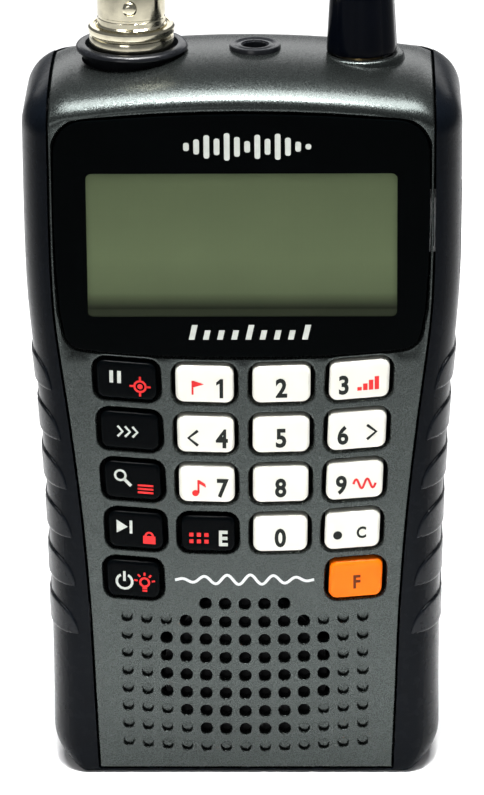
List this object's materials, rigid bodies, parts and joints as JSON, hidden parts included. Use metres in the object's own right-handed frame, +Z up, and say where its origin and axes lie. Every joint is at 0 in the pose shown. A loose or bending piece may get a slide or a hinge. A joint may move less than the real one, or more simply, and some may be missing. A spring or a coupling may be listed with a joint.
{
  "type": "handheld scanner radio",
  "caption": "Upright handheld scanner radio with a keypad, display panel, speaker grille, aerial socket, stacked control knobs and a sprung belt clip.",
  "frame": {"origin": "centre of the flat bottom face that the radio stands on", "axes": "+Z up along the case, +X to the right as the user faces the keypad, +Y from the keypad to the back"},
  "size_m": [0.062, 0.0409, 0.1216],
  "materials": {
    "grey_case": "metallic grey paint over moulded plastic, satin",
    "black_case": "black moulded plastic, satin",
    "tray_plastic": "black moulded plastic",
    "knob_plastic": "black moulded plastic, semi-gloss",
    "lens_panel": "clear acrylic printed black on its back",
    "lcd": "reflective grey-green LCD",
    "light_guide": "milky light guide",
    "black_key": "black moulded key",
    "orange_key": "orange moulded key",
    "white_key": "ivory white moulded key",
    "rubber": "black silicone rubber",
    "board": "green glass-fibre circuit board",
    "tinned_steel": "tinned steel sheet",
    "spring_steel": "bright spring steel",
    "zinc_screw": "blackened steel",
    "nickel": "nickel-plated brass, bright",
    "brass": "turned brass",
    "socket_insulator": "white fluoropolymer",
    "speaker_paper": "black paper cone",
    "speaker_cloth": "black felt",
    "cell_jacket": "printed steel battery jacket"
  },
  "bodies": {
    "case": {"front_shell": "grey_case", "rear_shell": "black_case", "display_lens": "lens_panel", "lcd_module": "lcd", "back_light": "light_guide", "keypad_mat": "rubber", "main_board": "board", "radio_board": "board", "radio_shield": "tinned_steel", "speaker_felt": "speaker_cloth", "speaker_cone": "speaker_paper", "speaker_basket": "tinned_steel", "battery_tray": "tray_plastic", "battery_1": "cell_jacket", "battery_2": "cell_jacket", "contact_spring_1": "spring_steel", "contact_spring_2": "spring_steel", "contact_plate": "spring_steel", "contact_bridge": "spring_steel", "aerial_socket": "nickel", "aerial_insulator": "socket_insulator", "aerial_contact": "brass", "aerial_nut": "nickel", "aerial_collar": "tray_plastic", "earphone_jack": "tray_plastic", "double_control": "tinned_steel", "data_port": "tinned_steel", "case_screw_1": "zinc_screw", "case_screw_2": "zinc_screw", "case_screw_3": "zinc_screw", "case_screw_4": "zinc_screw", "clip_base": "black_case", "clip_pin": "spring_steel", "clip_spring": "spring_steel", "clip_screw": "zinc_screw"},
    "volume": {"volume_knob": "knob_plastic", "volume_shaft": "spring_steel"},
    "squelch": {"squelch_knob": "knob_plastic", "squelch_shaft": "brass"},
    "battery_cover": {"battery_door": "black_case"},
    "belt_clip": {"clip_arm": "black_case"},
    "side_cover": {"port_cover": "rubber"},
    "key_hold": {"key_hold": "black_key"},
    "key_1": {"key_1": "white_key"},
    "key_2": {"key_2": "white_key"},
    "key_3": {"key_3": "white_key"},
    "key_scan": {"key_scan": "black_key"},
    "key_4": {"key_4": "white_key"},
    "key_5": {"key_5": "white_key"},
    "key_6": {"key_6": "white_key"},
    "key_search": {"key_search": "black_key"},
    "key_7": {"key_7": "white_key"},
    "key_8": {"key_8": "white_key"},
    "key_9": {"key_9": "white_key"},
    "key_lockout": {"key_lockout": "black_key"},
    "key_enter": {"key_enter": "black_key"},
    "key_0": {"key_0": "white_key"},
    "key_clear": {"key_clear": "white_key"},
    "key_power": {"key_power": "black_key"},
    "key_function": {"key_function": "orange_key"}
  },
  "joints": [
    {"name": "volume_turn", "type": "hinge", "parent": "case", "child": "volume", "pos_m": [0.0169, 0, 0.115], "axis": [0, 0, -1], "range_deg": [0, 290]},
    {"name": "squelch_turn", "type": "hinge", "parent": "case", "child": "squelch", "pos_m": [0.0169, 0, 0.105], "axis": [0, 0, -1], "range_deg": [0, 290]},
    {"name": "battery_cover_lift", "type": "slide", "parent": "case", "child": "battery_cover", "axis": [0, 1, 0], "range_m": [0, 0.02]},
    {"name": "belt_clip_open", "type": "hinge", "parent": "case", "child": "belt_clip", "pos_m": [0, 0.0216, 0.09], "axis": [1, 0, 0], "range_deg": [0, 14], "stiffness_Nm_per_rad": 0.05, "springref_deg": -20.05},
    {"name": "side_cover_open", "type": "hinge", "parent": "case", "child": "side_cover", "pos_m": [0.031, -0.0038, 0.082], "axis": [0, 0, 1], "range_deg": [0, 110]},
    {"name": "key_hold_press", "type": "slide", "parent": "case", "child": "key_hold", "axis": [0, 1, 0], "range_m": [0, 0.0006], "stiffness_N_per_m": 400, "springref_m": -0.001},
    {"name": "key_1_press", "type": "slide", "parent": "case", "child": "key_1", "axis": [0, 1, 0], "range_m": [0, 0.0006], "stiffness_N_per_m": 400, "springref_m": -0.001},
    {"name": "key_2_press", "type": "slide", "parent": "case", "child": "key_2", "axis": [0, 1, 0], "range_m": [0, 0.0006], "stiffness_N_per_m": 400, "springref_m": -0.001},
    {"name": "key_3_press", "type": "slide", "parent": "case", "child": "key_3", "axis": [0, 1, 0], "range_m": [0, 0.0006], "stiffness_N_per_m": 400, "springref_m": -0.001},
    {"name": "key_scan_press", "type": "slide", "parent": "case", "child": "key_scan", "axis": [0, 1, 0], "range_m": [0, 0.0006], "stiffness_N_per_m": 400, "springref_m": -0.001},
    {"name": "key_4_press", "type": "slide", "parent": "case", "child": "key_4", "axis": [0, 1, 0], "range_m": [0, 0.0006], "stiffness_N_per_m": 400, "springref_m": -0.001},
    {"name": "key_5_press", "type": "slide", "parent": "case", "child": "key_5", "axis": [0, 1, 0], "range_m": [0, 0.0006], "stiffness_N_per_m": 400, "springref_m": -0.001},
    {"name": "key_6_press", "type": "slide", "parent": "case", "child": "key_6", "axis": [0, 1, 0], "range_m": [0, 0.0006], "stiffness_N_per_m": 400, "springref_m": -0.001},
    {"name": "key_search_press", "type": "slide", "parent": "case", "child": "key_search", "axis": [0, 1, 0], "range_m": [0, 0.0006], "stiffness_N_per_m": 400, "springref_m": -0.001},
    {"name": "key_7_press", "type": "slide", "parent": "case", "child": "key_7", "axis": [0, 1, 0], "range_m": [0, 0.0006], "stiffness_N_per_m": 400, "springref_m": -0.001},
    {"name": "key_8_press", "type": "slide", "parent": "case", "child": "key_8", "axis": [0, 1, 0], "range_m": [0, 0.0006], "stiffness_N_per_m": 400, "springref_m": -0.001},
    {"name": "key_9_press", "type": "slide", "parent": "case", "child": "key_9", "axis": [0, 1, 0], "range_m": [0, 0.0006], "stiffness_N_per_m": 400, "springref_m": -0.001},
    {"name": "key_lockout_press", "type": "slide", "parent": "case", "child": "key_lockout", "axis": [0, 1, 0], "range_m": [0, 0.0006], "stiffness_N_per_m": 400, "springref_m": -0.001},
    {"name": "key_enter_press", "type": "slide", "parent": "case", "child": "key_enter", "axis": [0, 1, 0], "range_m": [0, 0.0006], "stiffness_N_per_m": 400, "springref_m": -0.001},
    {"name": "key_0_press", "type": "slide", "parent": "case", "child": "key_0", "axis": [0, 1, 0], "range_m": [0, 0.0006], "stiffness_N_per_m": 400, "springref_m": -0.001},
    {"name": "key_clear_press", "type": "slide", "parent": "case", "child": "key_clear", "axis": [0, 1, 0], "range_m": [0, 0.0006], "stiffness_N_per_m": 400, "springref_m": -0.001},
    {"name": "key_power_press", "type": "slide", "parent": "case", "child": "key_power", "axis": [0, 1, 0], "range_m": [0, 0.0006], "stiffness_N_per_m": 400, "springref_m": -0.001},
    {"name": "key_function_press", "type": "slide", "parent": "case", "child": "key_function", "axis": [0, 1, 0], "range_m": [0, 0.0006], "stiffness_N_per_m": 400, "springref_m": -0.001}
  ]
}
